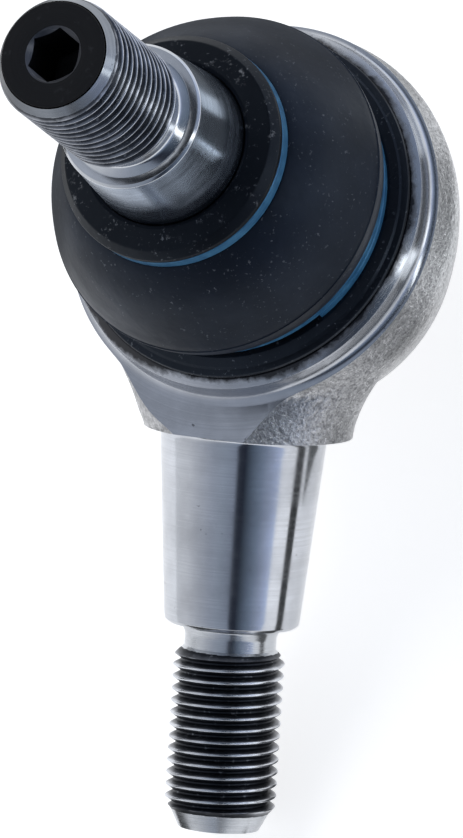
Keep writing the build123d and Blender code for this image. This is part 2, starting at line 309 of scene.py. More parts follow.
def make_piece(name, shape, materials, paint=None, sharp=38, tilted=False):
    """An object from vertices in millimetres; paint picks each face's material from its centre.

    A tilted piece is drawn about Z and laid along the shank.
    """
    vertices, faces = shape
    mesh = bpy.data.meshes.new(name)
    mesh.from_pydata([tuple(v) for v in np.asarray(vertices) * MM], [], faces)
    weld = bmesh.new()
    weld.from_mesh(mesh)
    bmesh.ops.remove_doubles(weld, verts=weld.verts, dist=2e-6)
    bmesh.ops.dissolve_degenerate(weld, dist=1e-7, edges=weld.edges)
    bmesh.ops.recalc_face_normals(weld, faces=weld.faces)
    weld.to_mesh(mesh)
    weld.free()
    piece = placed(name, mesh)
    dress(piece, materials, paint, sharp)
    if tilted:
        mesh.transform(SHANK_FRAME)
    return piece


def dress(piece, materials, paint=None, sharp=38):
    """Gives a piece its materials and its smooth shading."""
    mesh = piece.data
    mesh.materials.clear()
    for material in materials:
        mesh.materials.append(material)
    if paint:
        centres = np.array([side.center for side in mesh.polygons]) / MM
        picks = paint(np.hypot(centres[:, 0], centres[:, 1]), centres[:, 2])
        mesh.polygons.foreach_set("material_index", picks.astype(np.int32))
    mesh.shade_smooth()
    mesh.set_sharp_from_angle(angle=radians(sharp))


def split_finishes(piece):
    """Marks edges sharp between materials and round broad faces, so no shading runs over."""
    broad = 1.5 * MM**2
    edit = bmesh.new()
    edit.from_mesh(piece.data)
    for edge in edit.edges:
        sides = edge.link_faces
        two_finishes = len({side.material_index for side in sides}) > 1
        if two_finishes or any(side.calc_area() > broad for side in sides):
            edge.smooth = False
    edit.to_mesh(piece.data)
    edit.free()


def baked(piece):
    """Replaces a piece's mesh with what its modifiers make of it."""
    depsgraph = bpy.context.evaluated_depsgraph_get()
    mesh = bpy.data.meshes.new_from_object(piece.evaluated_get(depsgraph))
    piece.modifiers.clear()
    piece.data = mesh


def cut(piece, cutter):
    """Takes the cutter's solid out of a piece, and removes the cutter."""
    tool = piece.modifiers.new("cut", "BOOLEAN")
    tool.operation = "DIFFERENCE"
    tool.solver = "EXACT"
    tool.material_mode = "TRANSFER"
    tool.object = cutter
    baked(piece)
    bpy.data.objects.remove(cutter)


# ------------------------------------------------------------ material helpers

def plug(tree, socket, value):
    """Links another node's output to a socket, or sets the socket."""
    if isinstance(value, bpy.types.NodeSocket):
        tree.links.new(value, socket)
    else:
        socket.default_value = value


def add(tree, kind, inputs=(), **settings):
    """A new node, with its settings and its inputs."""
    made = tree.nodes.new(kind)
    for key, value in settings.items():
        setattr(made, key, value)
    for key, value in dict(inputs).items():
        plug(tree, made.inputs[key], value)
    return made


def figure(tree, operation, a, b):
    """A maths node's result."""
    return add(tree, "ShaderNodeMath", {0: a, 1: b}, operation=operation).outputs[0]


def times(tree, a, b):
    return figure(tree, "MULTIPLY", a, b)


def plus(tree, a, b):
    return figure(tree, "ADD", a, b)


def weighed(tree, a, b, share):
    """Two values added up, a with the share and b with the rest."""
    return plus(tree, times(tree, a, share), times(tree, b, 1 - share))


def ranged(tree, value, low, high, to_low=0.0, to_high=1.0):
    """A value's place between two limits, moved onto two others."""
    made = add(tree, "ShaderNodeMapRange", {
        "Value": value, "From Min": low, "From Max": high, "To Min": to_low, "To Max": to_high,
    })
    return made.outputs[0]


def blended(tree, share, a, b):
    """A colour between a and b, each a socket or a red, green and blue."""
    made = add(tree, "ShaderNodeMix", data_type="RGBA")
    for key, value in ((0, share), (6, a), (7, b)):
        plug(tree, made.inputs[key], (*value, 1) if isinstance(value, tuple) else value)
    return made.outputs[2]


def place(tree, tilted=False):
    """Object coordinates, turned back so that Z runs along the shank where tilted."""
    where = add(tree, "ShaderNodeTexCoord").outputs["Object"]
    if tilted:
        where = add(tree, "ShaderNodeVectorRotate", {"Vector": where, "Angle": -SHANK_TURN},
                    rotation_type="Y_AXIS").outputs[0]
    return where


def turned_tangent(tree, tilted=False):
    """The direction in which a lathe tool ran over the surface."""
    where = add(tree, "ShaderNodeTexCoord").outputs["Object"]
    axis = (cos(SHANK_LEAN), 0, -sin(SHANK_LEAN)) if tilted else (0, 0, 1)
    around = add(tree, "ShaderNodeVectorMath", {0: axis, 1: where}, operation="CROSS_PRODUCT")
    made = add(tree, "ShaderNodeVectorTransform", {0: around.outputs[0]}, vector_type="VECTOR",
               convert_from="OBJECT", convert_to="WORLD")
    return made.outputs[0]


def grain(tree, where, scale, detail=3.0, roughness=0.55):
    """Cloudy noise; scale is its cells to a metre."""
    made = add(tree, "ShaderNodeTexNoise", {
        "Vector": where, "Scale": scale, "Detail": detail, "Roughness": roughness,
    })
    return made.outputs[0]


def relief(tree, height, distance, under=None):
    """A surface raised over a distance by a height from 0 to 1, on top of another relief."""
    made = add(tree, "ShaderNodeBump", {"Height": height, "Distance": distance, "Strength": 1.0})
    if under is not None:
        tree.links.new(under, made.inputs["Normal"])
    return made.outputs[0]


def polar(tree, where):
    """Distance from the piece's Z axis, height along it, and the place round it."""
    parts = add(tree, "ShaderNodeSeparateXYZ", {0: where}).outputs
    flat = add(tree, "ShaderNodeCombineXYZ", {0: parts[0], 1: parts[1]}).outputs[0]
    radius = add(tree, "ShaderNodeVectorMath", {0: flat}, operation="LENGTH").outputs["Value"]
    around = add(tree, "ShaderNodeVectorMath", {0: flat}, operation="NORMALIZE").outputs[0]
    around = add(tree, "ShaderNodeSeparateXYZ", {0: around}).outputs
    return radius, parts[2], around[0], around[1]


def towards(tree, cosine, sine, degrees):
    """How far a place round the axis lies towards a heading, from -1 to 1."""
    heading = radians(degrees)
    return plus(tree, times(tree, cosine, cos(heading)), times(tree, sine, sin(heading)))


def tool_marks(tree, where, per_mm, spread=0.5):
    """Noise drawn out round the piece's Z axis, as a turning tool leaves it."""
    radius, height, cosine, sine = polar(tree, where)
    fine = per_mm / MM
    vector = add(tree, "ShaderNodeCombineXYZ", {
        0: times(tree, radius, fine), 1: times(tree, height, fine), 2: times(tree, cosine, spread),
    }).outputs[0]
    made = add(tree, "ShaderNodeTexNoise", {
        "Vector": vector, "W": times(tree, sine, spread), "Scale": 1.0,
        "Detail": 2.0, "Roughness": 0.6,
    }, noise_dimensions="4D")
    return made.outputs[0]


def new_material(name):
    """A material, its nodes and its shader."""
    material = bpy.data.materials.new(name)
    material.use_nodes = True
    tree = material.node_tree
    return material, tree, tree.nodes["Principled BSDF"]


def feed(tree, shader, **inputs):
    """Sets or links the shader's sockets by name."""
    for key, value in inputs.items():
        plug(tree, shader.inputs[key.replace("_", " ")], value)


def stained(tree, share, colour, **inputs):
    """Lays a stain over what already colours a shader, and feeds its other inputs."""
    shader = tree.nodes["Principled BSDF"]
    own = shader.inputs["Base Color"].links[0].from_socket
    feed(tree, shader, Base_Color=blended(tree, share, own, colour), **inputs)


# ------------------------------------------------------------------- materials

PALE_STREAK = (0.86, 0.87, 0.90)
DARK_NICK = (0.05, 0.052, 0.06)
# colour of the painted shade laid on one side of turned surfaces
PAINTED_SIDE_SHADE = (0.02, 0.022, 0.027)
# thread roots: oil and oxide together with painted shade
RUBBER_SMEAR_AND_SHADE = (0.012, 0.013, 0.017)
# black rubber rubbed onto the rim, also the colour of the painted shade beside it
ROOT_OIL_AND_SHADE = (0.030, 0.033, 0.040)
THREAD_FLECK = (0.40, 0.42, 0.45)
DUST = (0.33, 0.35, 0.38)
DIRT = (0.42, 0.43, 0.45)
COOL_SHEEN = (0.66, 0.80, 1.0, 1)


def turned_steel(name, tone=(0.62, 0.64, 0.67), rough=0.22, groove=0.0012, tilted=False,
                 stretch=0.6, streaks=0.25, per_mm=5.0):
    """Bright machined steel: tool marks round the axis, faint smudges and a few nicks.

    groove is how deep the marks are in millimetres and per_mm how many there are, stretch
    draws the highlights out across them, and streaks is how much the finest show.
    """
    material, tree, shader = new_material(name)
    where = place(tree, tilted)
    marks = tool_marks(tree, where, per_mm)
    fine = tool_marks(tree, where, 12.0, 1.5)
    smudge = grain(tree, where, 160, 4)
    nicks = ranged(tree, grain(tree, where, 900, 2), 0.725, 0.77)
    worn = tuple(0.74 * c for c in tone)
    colour = blended(tree, ranged(tree, smudge, 0.35, 0.7), tone, worn)
    colour = blended(tree, ranged(tree, marks, 0.35, 0.7, 0.0, 0.45), colour, worn)
    colour = blended(tree, ranged(tree, fine, 0.58, 0.72, 0.0, streaks), colour, PALE_STREAK)
    colour = blended(tree, times(tree, nicks, 0.7), colour, DARK_NICK)
    height = plus(tree, marks, times(tree, fine, 0.4))
    height = plus(tree, height, times(tree, nicks, -3.0))
    feed(
        tree, shader, Metallic=1.0, Base_Color=colour, Anisotropic=stretch,
        Anisotropic_Rotation=0.25, Tangent=turned_tangent(tree, tilted),
        Roughness=ranged(tree, plus(tree, smudge, marks), 0.7, 1.3, rough - 0.04, rough + 0.09),
        Normal=relief(tree, height, groove * MM),
    )
    return material


def paint_side_shade(material, degrees, low, high, share):
    """Paints shade on the side of a turned surface that lies towards a heading, darkening its
    colour there.
    """
    tree = material.node_tree
    cosine, sine = polar(tree, place(tree))[2:]
    black = ranged(tree, towards(tree, cosine, sine, degrees), low, high, 0.0, share)
    stained(tree, black, PAINTED_SIDE_SHADE)
    return material


def rim_steel():
    """The turned rim, with black rubber rubbed off on it beside the boot's foot, and painted shade
    widening that dark band on the side towards -42 degrees.
    """
    material = turned_steel("rim_steel", tone=(0.53, 0.55, 0.59), rough=0.20, groove=0.0009)
    tree = material.node_tree
    where = place(tree)
    radius, height, cosine, sine = polar(tree, where)
    # painted shade: towards -42 degrees the dark band reaches further out and higher up
    shaded_side = ranged(tree, towards(tree, cosine, sine, -42), 0.84, 0.98)
    fuzz = grain(tree, where, 900, 5, 0.7)
    patchy = grain(tree, where, 140)
    edge = plus(tree, radius, ranged(tree, fuzz, 0.3, 0.7, -0.3 * MM, 0.3 * MM))
    edge = plus(tree, edge, ranged(tree, patchy, 0.3, 0.7, -0.35 * MM, 0.35 * MM))
    edge = plus(tree, edge, times(tree, shaded_side, -0.8 * MM))
    height = plus(tree, height, times(tree, shaded_side, 0.9 * MM))
    black = ranged(tree, edge, 22.3 * MM, 23.0 * MM, 1.0, 0.0)
    black = times(tree, black, ranged(tree, height, 3.9 * MM, 4.3 * MM))
    stained(tree, black, RUBBER_SMEAR_AND_SHADE, Metallic=ranged(tree, black, 0.0, 1.0, 1.0, 0.1))
    return material


def rolled_thread(name, crest, tilted=False, tone=(0.66, 0.68, 0.72), span=(0.62, 1.0),
                  flank=(0.12, 0.125, 0.14)):
    """Rolled thread: bright burnished crests; roots and flanks darker, partly oil and oxide and
    partly painted shade in the grooves.

    span is where the flank's tone goes over into the crest's, from 0 at the root to 1.
    """
    material, tree, shader = new_material(name)
    where = place(tree, tilted)
    radius = polar(tree, where)[0]
    marks = tool_marks(tree, where, 7.0)
    patches = grain(tree, where, 420, 4)
    flecks = ranged(tree, grain(tree, where, 1500, 2), 0.62, 0.72)
    level = ranged(tree, radius, (crest - 0.9) * MM, crest * MM)
    level = plus(tree, level, ranged(tree, patches, 0.3, 0.7, -0.14, 0.14))
    # painted shade: the colour darkens from crest to root, over the oil and oxide in the roots
    colour = blended(tree, ranged(tree, level, 0.15, 0.55), ROOT_OIL_AND_SHADE, flank)
    colour = blended(tree, ranged(tree, level, *span), colour, tone)
    colour = blended(tree, times(tree, flecks, 0.35), colour, THREAD_FLECK)
    feed(
        tree, shader, Metallic=1.0, Base_Color=colour,
        Roughness=ranged(tree, level, 0.1, 1.0, 0.45, 0.22),
        Normal=relief(tree, marks, 0.002 * MM),
    )
    return material


def forged_steel():
    """Shot blasted forging: a fine pitted skin, scale left in the pits and bright peaks."""
    material, tree, shader = new_material("forged_steel")
    where = place(tree)
    pits = grain(tree, where, 2900, 4, 0.66)
    dents = grain(tree, where, 1250, 3, 0.6)
    waves = grain(tree, where, 110)
    mix = weighed(tree, pits, dents, 0.65)
    tone = blended(tree, ranged(tree, mix, 0.38, 0.60), (0.21, 0.21, 0.215), (0.58, 0.58, 0.59))
    tone = blended(tree, ranged(tree, waves, 0.35, 0.7, 0.0, 0.16), tone, (0.27, 0.265, 0.265))
    feed(
        tree, shader, Metallic=0.9, Base_Color=tone,
        Roughness=ranged(tree, mix, 0.38, 0.60, 0.42, 0.26),
        Normal=relief(tree, pits, 0.060 * MM, relief(tree, dents, 0.20 * MM)),
    )
    return material


def boot_rubber(name="boot_rubber", dark=(0.0040, 0.0060, 0.0112), light=(0.0115, 0.0160, 0.0265),
                rough=(0.50, 0.38), dusty=0.30, soiled=0.0, gloss=0.24):
    """Moulded rubber: satin, with rubbed patches, a trace of dust and, where soiled, dirt."""
    material, tree, shader = new_material(name)
    where = place(tree)
    skin = grain(tree, where, 1500)
    patches = grain(tree, where, 90, 4)
    swell = grain(tree, where, 170)
    specks = grain(tree, where, 2300, 2, 0.5)
    clumps = grain(tree, where, 330, 4, 0.6)
    dust = times(tree, ranged(tree, specks, 0.64, 0.72), ranged(tree, clumps, 0.44, 0.64))
    colour = blended(tree, ranged(tree, patches, 0.40, 0.72), dark, light)
    colour = blended(tree, times(tree, dust, dusty), colour, DUST)
    if soiled:
        flakes = grain(tree, where, 1100, 5, 0.72)
        dirt = times(tree, ranged(tree, flakes, 0.55, 0.68), ranged(tree, clumps, 0.54, 0.66))
        colour = blended(tree, times(tree, dirt, soiled), colour, DIRT)
        dust = figure(tree, "MAXIMUM", dust, dirt)
    height = plus(tree, skin, plus(tree, patches, dust))
    satin = ranged(tree, patches, 0.3, 0.7, *rough)
    feed(
        tree, shader, Base_Color=colour, Roughness=plus(tree, satin, times(tree, dust, 0.25)),
        Specular_IOR_Level=gloss, Specular_Tint=COOL_SHEEN,
        Normal=relief(tree, height, 0.014 * MM, relief(tree, swell, 0.16 * MM)),
    )
    return material


def blue_clamp():
    """Blue coated strip: satin paint, thinner and paler where it has rubbed."""
    material, tree, shader = new_material("blue_clamp")
    where = place(tree)
    rub = grain(tree, where, 700, 4)
    streaks = tool_marks(tree, where, 6.0, 2.0)
    worn = weighed(tree, rub, streaks, 0.6)
    paint = blended(tree, ranged(tree, worn, 0.40, 0.66), (0.025, 0.12, 0.25), (0.06, 0.22, 0.38))
    feed(
        tree, shader, Metallic=0.35, Base_Color=paint,
        Roughness=ranged(tree, worn, 0.35, 0.65, 0.30, 0.42),
        Normal=relief(tree, worn, 0.006 * MM),
    )
    return material


def dark_end():
    """The stud's dark end face, with turning rings and a few paler scuffs."""
    material, tree, shader = new_material("dark_end")
    where = place(tree)
    rings = tool_marks(tree, where, 6.0, 0.8)
    scuffs = ranged(tree, grain(tree, where, 900, 4, 0.6), 0.60, 0.75, 0.0, 0.5)
    feed(
        tree, shader, Metallic=0.0, Specular_IOR_Level=0.2,
        Base_Color=blended(tree, scuffs, (0.0045, 0.0048, 0.006), (0.03, 0.032, 0.036)),
        Roughness=ranged(tree, rings, 0.35, 0.65, 0.42, 0.6),
        Normal=relief(tree, rings, 0.006 * MM),
    )
    return material


def plain_finish(name, dark, light, metallic, rough, scale, depth):
    """A finish with mottled colour, roughness and grain, for the pieces inside."""
    material, tree, shader = new_material(name)
    where = place(tree)
    mottle = grain(tree, where, scale, 4.0)
    marks = tool_marks(tree, where, 4.0, 1.0)
    both = weighed(tree, mottle, marks, 0.7)
    feed(
        tree, shader, Metallic=metallic,
        Base_Color=blended(tree, ranged(tree, both, 0.35, 0.65), dark, light),
        Roughness=ranged(tree, both, 0.35, 0.65, rough - 0.06, rough + 0.08),
        Normal=relief(tree, both, depth * MM),
    )
    return material


# ---------------------------------------------------------------------- pieces

def taper_radius(z):
    """The stud's taper at a height."""
    return TAPER_SMALL_R + (TAPER_SMALL_Z - z) * TAPER_RATIO / 2


def stud_envelope(z):
    """The stud thread's most radius at a height: run-out, crests, chamfer."""
    marks = (STUD_RELIEF_Z, STUD_THREAD_Z + 0.2, STUD_CREST_Z, STUD_END_Z)
    crest = STUD_THREAD_R + 0.02
    return np.interp(z, marks, (STUD_RELIEF_R, crest, crest, STUD_END_R))


def ball_stud(finishes):
    """Ball, neck, taper, relief, helical thread and hexagon socket in one closed mesh.

    finishes are those of the taper, the thread, the end, the socket's mouth, the chamfer
    and the relief.
    """
    slim = NECK_R - NECK_SLIMMER
    top = sqrt(BALL_R**2 - slim**2)
    chamfer = 0.3
    lower = arc(BALL_R, -90, NECK_START, 60)
    lower += curve_through([(slim, top + 0.05), (slim, 13.6), (NECK_R, 16.6),
                            (NECK_R + 1.4, 20.0), (taper_radius(TAPER_LARGE_Z), TAPER_LARGE_Z)], 6)
    lower += [(taper_radius(z), z) for z in np.linspace(TAPER_LARGE_Z + 1, TAPER_SMALL_Z - 1, 12)]
    lower += rounded([
        (taper_radius(TAPER_SMALL_Z - 0.9), TAPER_SMALL_Z - 0.9),
        (taper_radius(TAPER_SMALL_Z - chamfer), TAPER_SMALL_Z - chamfer, 0.15),
        (TAPER_SMALL_R - chamfer, TAPER_SMALL_Z, 0.15),
        (7.9, TAPER_SMALL_Z, 0.3),
        (6.85, TAPER_SMALL_Z + 0.7, 0.8),
        (STUD_RELIEF_R, TAPER_SMALL_Z + 1.8, 0.8),
        (STUD_RELIEF_R, STUD_RELIEF_Z),
    ])
    angles = np.arange(COLUMNS) * 2 * pi / COLUMNS
    from_corner = (angles + pi / 6) % (pi / 3) - pi / 6
    hexagon = SOCKET_FLATS / 2 / np.cos(abs(from_corner) - pi / 6)
    mouth_low = STUD_END_Z - (SOCKET_MOUTH_R - SOCKET_FLATS / 2)
    socket_z = STUD_END_Z - SOCKET_DEPTH
    face = rounded([
        (STUD_END_R, STUD_END_Z - 0.25),
        (STUD_END_R, STUD_END_Z, 0.2),
        (SOCKET_MOUTH_R, STUD_END_Z, 0.08),
        (SOCKET_MOUTH_R - 0.12, STUD_END_Z - 0.12),
    ])
    face += [
        (hexagon, mouth_low + hexagon - SOCKET_FLATS / 2),
        (hexagon, socket_z),
        (hexagon * 0.8, socket_z - 0.02),
        (0, socket_z - 0.8),
    ]
    shape = joined(
        spin(lower),
        thread(STUD_RELIEF_Z, STUD_END_Z - 0.25, STUD_THREAD_R, stud_envelope, (63.3, 65.3)),
        spin(face),
    )

    def paint(radius, height):
        threaded = (height > STUD_RELIEF_Z + 0.3) & (height < STUD_CREST_Z + 0.6)
        mouth = (height > mouth_low) & (height < STUD_END_Z - 0.05) & (radius < SOCKET_MOUTH_R)
        socket = (height > socket_z - 1) & (radius < SOCKET_MOUTH_R + 0.3)
        ended = (height > STUD_END_Z - 0.12) | socket
        capped = height > STUD_CREST_Z + 0.6
        relieved = height > TAPER_SMALL_Z - 0.35
        return np.select([mouth, ended, threaded, capped, relieved], [3, 2, 1, 4, 5], 0)

    piece = make_piece("stud", shape, finishes, paint)
    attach(piece, "ball_stud")
    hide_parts("ball_stud")


def shank_envelope(s):
    """The shank thread's most radius at a distance: run-out, crests, rounded tip."""
    marks = (RELIEF_END_S, SHANK_THREAD_S + 0.3, SHANK_CREST_S, SHANK_TIP_START[0], SHANK_END_S)
    crest = SHANK_THREAD_R + 0.02
    return np.interp(s, marks, (SHANK_RELIEF_R, crest, crest, SHANK_TIP_START[1], SHANK_TIP_R))


def shank(steel, thread_steel, tip_steel):
    """The turned cone, relief and helical thread of the housing's shank."""
    cone_small_r = CONE_LARGE_R - (CONE_END_S - CONE_START_S) * CONE_RATIO / 2
    chamfer = 0.4
    foot_r = CONE_LARGE_R + FLANGE_FILLET
    line = [(0, FLANGE_S - 0.8), (foot_r + 0.3, FLANGE_S - 0.8), (foot_r + 0.3, FLANGE_S + 0.02)]
    line += [
        (foot_r - FLANGE_FILLET * cos(a), FLANGE_S + 0.02 + FLANGE_FILLET * (1 - sin(a)))
        for a in np.linspace(pi / 2, 0, 8)
    ]
    rows = np.append(np.linspace(CONE_START_S, CONE_START_S + 4, 5),
                     np.linspace(CONE_START_S + 5, CONE_END_S - 1.5, 10))
    line += [(CONE_LARGE_R - (s - CONE_START_S) * CONE_RATIO / 2, s) for s in rows]
    line += rounded([
        (cone_small_r + 1.2 * CONE_RATIO / 2, CONE_END_S - 1.2),
        (cone_small_r, CONE_END_S - chamfer, 0.2),
        (cone_small_r - chamfer, CONE_END_S, 0.2),
        (6.95, CONE_END_S, 0.3),
        (6.1, CONE_END_S + 0.35, 0.6),
        (SHANK_RELIEF_R, CONE_END_S + 1.4, 0.8),
        (SHANK_RELIEF_R, RELIEF_END_S),
    ])
    tip = rounded([
        (SHANK_TIP_R, SHANK_END_S),
        (SHANK_TIP_R - 0.15, SHANK_END_S, 0.1),
        (1.2, SHANK_END_S - 0.05, 0.1),
        (0, SHANK_END_S - 0.5),
    ])
    fade = (SHANK_CREST_S, SHANK_END_S)
    shape = joined(
        spin(line),
        thread(RELIEF_END_S, SHANK_END_S, SHANK_THREAD_R, shank_envelope, fade),
        spin(tip),
    )

    def paint(_radius, height):
        threaded = (height > RELIEF_END_S + 0.3) & (height < SHANK_TIP_START[0])
        return np.where(threaded, 1, np.where(height > CONE_END_S + 0.1, 2, 0))

    piece = make_piece("shank", shape, [steel, thread_steel, tip_steel], paint, tilted=True)
    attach(piece, "housing")


def neck_loft():
    """The forging's oval neck, as rings of points about the shank's axis."""
    sections = np.array(NECK_SECTIONS)
    fits = [np.polyfit(sections[:, 0], sections[:, k], 4) for k in (1, 2, 3, 4)]
    count = 96
    angles = np.arange(count) * 2 * pi / count
    cosines = np.cos(angles)
    sines = np.sin(angles)
    squared = (cosines < -1e-9) & (sines > 1e-9)
    axis = np.array((cos(SHANK_LEAN), 0, -sin(SHANK_LEAN)))
    rise = np.array((sin(SHANK_LEAN), 0, cos(SHANK_LEAN)))
    rings = []
    for s in np.linspace(sections[0, 0], FLANGE_S + 1.5, 40):
        half, above, below, aside = (np.polyval(fit, min(s, FLANGE_S)) for fit in fits)
        power, narrow = (np.interp(s, SQUARE_SIDE[0], SQUARE_SIDE[k]) for k in (1, 2))
        power = np.where(squared, power, 1.0)
        narrow = np.where(cosines < 0, narrow, 1.0)
        across = aside + half * narrow * np.sign(cosines) * abs(cosines) ** power
        up = (above - below) / 2 + (above + below) / 2 * np.sign(sines) * abs(sines) ** power
        rings.append(s * axis + across[:, None] * np.array((0, 1, 0)) + up[:, None] * rise)
    faces = bands(len(rings), count)
    faces.append(tuple(range(count)))
    faces.append(tuple(range((len(rings) - 1) * count, len(rings) * count)))
    return np.concatenate(rings), faces


def forging(skin, steel):
    """Forged head and neck, fused and softened, then faced, bored and squared by the cutters."""
    head = rounded([
        (0, BASE_Z - 0.5),
        (ROLLED_EDGE_R, BASE_Z - 0.5),
        *HEAD_OUTLINE,
        (HEAD_TOP_R, FACING_Z),
        (HEAD_TOP_R, FACING_Z + 3),
        (0, FACING_Z + 3),
    ])
    piece = make_piece("forging", joined(spin(head), neck_loft()), [skin, steel])
    remesh = piece.modifiers.new("remesh", "REMESH")
    remesh.mode = "VOXEL"
    remesh.voxel_size = 0.38 * MM
    remesh.adaptivity = 0
    smooth = piece.modifiers.new("smooth", "SMOOTH")
    smooth.factor = 0.5
    smooth.iterations = 30
    baked(piece)
    dress(piece, [skin, steel])

    def cutter(name, rows, tilted=False):
        return make_piece(name, spin(rows, closed=rows[0][0] > 0), [steel], tilted=tilted)

    facing = rounded([
        (RIM_R - 0.3, FACING_Z + 20),
        (RIM_R - 0.3, RIM_SEAM_Z),
        (RIM_R, FACING_Z, RIM_FILLET),
        (60, FACING_Z),
        (60, FACING_Z + 20),
    ], steps=10)
    top = [(0, RIM_SEAM_Z), (60, RIM_SEAM_Z), (60, RIM_SEAM_Z + 20), (0, RIM_SEAM_Z + 20)]
    flange = [(0, FLANGE_S), (40, FLANGE_S), (40, FLANGE_S + 20), (0, FLANGE_S + 20)]
    edge_r = HEAD_OUTLINE[0][0] + 0.1
    below = [(0, BASE_Z - 20), (edge_r, BASE_Z - 20), (edge_r, BASE_Z + 1.1), (0, BASE_Z + 1.1)]
    bore = [(0, BASE_Z - 9), (COVER_R, BASE_Z - 9), (COVER_R, COVER_TOP_Z), (CAVITY_R, COVER_TOP_Z),
            (CAVITY_R, FACING_Z + 9), (0, FACING_Z + 9)]
    cut(piece, cutter("facing", facing))
    cut(piece, cutter("top", top))
    cut(piece, cutter("flange", flange, tilted=True))
    cut(piece, cutter("below", below))
    cut(piece, cutter("bore", bore))
    mesh = piece.data
    mesh.shade_smooth()
    mesh.set_sharp_from_angle(angle=radians(40))
    split_finishes(piece)
    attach(piece, "housing")
    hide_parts("housing")


def turned_rim(steel):
    """The turned rim, shoulder and collar above the forging, with the mouth for the stud."""
    line = rounded([
        (CAVITY_R, RIM_SEAM_Z - 0.3),
        (RIM_R - 0.28, RIM_SEAM_Z - 0.3),
        (RIM_R - 0.28, SHOULDER_Z - 0.65, 0.06),
        (RIM_R - 1.3, SHOULDER_Z, 0.12),
        (COLLAR_R + 1.9, SHOULDER_Z, 0.1),
        (COLLAR_R, SHOULDER_Z, 0.4),
        (COLLAR_R, COLLAR_TOP_Z - 0.4, 0.2),
        (COLLAR_R - 0.4, COLLAR_TOP_Z, 0.2),
        (MOUTH_R + 1.4, COLLAR_TOP_Z, 0.2),
        (MOUTH_R, COLLAR_TOP_Z - 1.5, 0.2),
        (CAVITY_R - 2.1, COLLAR_TOP_Z - 1.55),
    ])
    line += arc(CAVITY_R, 28, 14, 6)
    piece = make_piece("turned_rim", spin(line, closed=True), [steel])
    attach(piece, "housing")


def rolled_edge(steel):
    """The housing's lower edge, rolled over the cover."""
    outer_r = HEAD_OUTLINE[0][0] - 0.15
    line = rounded([
        (COVER_R + 0.1, COVER_TOP_Z),
        (outer_r, COVER_TOP_Z),
        (outer_r, BASE_Z + 1.0, 0.6),
        (ROLLED_EDGE_R, BASE_Z, 0.5),
        (ROLLED_LIP_R, BASE_Z, 0.6),
        (ROLLED_LIP_R, COVER_TOP_Z - COVER_THICK),
        (COVER_R + 0.1, COVER_TOP_Z - COVER_THICK),
        (COVER_R + 0.1, COVER_TOP_Z - 0.2),
    ])
    piece = make_piece("rolled_edge", spin(line, closed=True), [steel])
    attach(piece, "housing")


def cover(steel):
    """The pressed cover plate, dished inwards at its middle."""
    bottom = COVER_TOP_Z - COVER_THICK
    line = rounded([
        (0, COVER_TOP_Z - 1.0),
        (8.5, COVER_TOP_Z - 1.0, 1.0),
        (11.0, COVER_TOP_Z, 1.0),
        (COVER_R, COVER_TOP_Z, 0.2),
        (COVER_R, bottom, 0.2),
        (12.0, bottom, 1.0),
        (9.5, bottom - 1.0, 1.0),
        (0, bottom - 1.0),
    ])
    piece = make_piece("cover", spin(line), [steel])
    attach(piece, "housing")
    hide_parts("cover_plate")


def boot_foot_and_belly(rubber, foot):
    """Lower half of the boot: the clamped foot, the ring's groove and the belly."""
    groove_r = FOOT_RING_R - RING_THICK - 0.1
    inside_r = COLLAR_R + BOOT_GAP
    foot_z = SHOULDER_Z + BOOT_GAP
    line = rounded([
        (inside_r, COLLAR_TOP_Z),
        (inside_r, foot_z, 0.2),
        (FOOT_R, foot_z, 0.15),
        (FOOT_R - 0.15, foot_z + 0.5, 0.15),
        (FOOT_R - 0.9, foot_z + 0.62, 0.2),
        (FOOT_R - 1.2, foot_z + 0.85, 0.2),
        (FOOT_RING_R + 0.25, FOOT_RING_Z - 0.1, 0.2),
        (groove_r, FOOT_RING_Z - 0.1, 0.1),
        (groove_r, FOOT_RING_Z + RING_HEIGHT + 0.1, 0.1),
        (FOOT_RING_R - 0.35, FOOT_RING_Z + RING_HEIGHT + 0.2, 0.25),
        (FOOT_RING_R - 0.15, FOOT_RING_Z + RING_HEIGHT + 0.6),
    ])
    outer = curve_through([
        (FOOT_RING_R - 1.2, 7.3), (19.55, 8.95), BELLY_LOW, (BULGE_R, BULGE_Z), SHOULDER_OUTLINE[0],
    ], 12)[12:37]
    inner = curve_through([
        (LINING_R, BULGE_Z + 2), (LINING_R, BULGE_Z), (LINING_R - 0.7, BULGE_Z - 2.4),
        (inside_r, COLLAR_TOP_Z + 0.2), (inside_r - 0.7, COLLAR_TOP_Z - 1),
    ], 8)[8:25]
    shape = spin(line + outer[1:] + inner, closed=True)

    def paint(_radius, height):
        return np.where(height < FOOT_RING_Z + RING_HEIGHT + 0.3, 1, 0)

    piece = make_piece("boot_lower", shape, [rubber, foot], paint)
    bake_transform(piece)
    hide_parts("boot_lower")


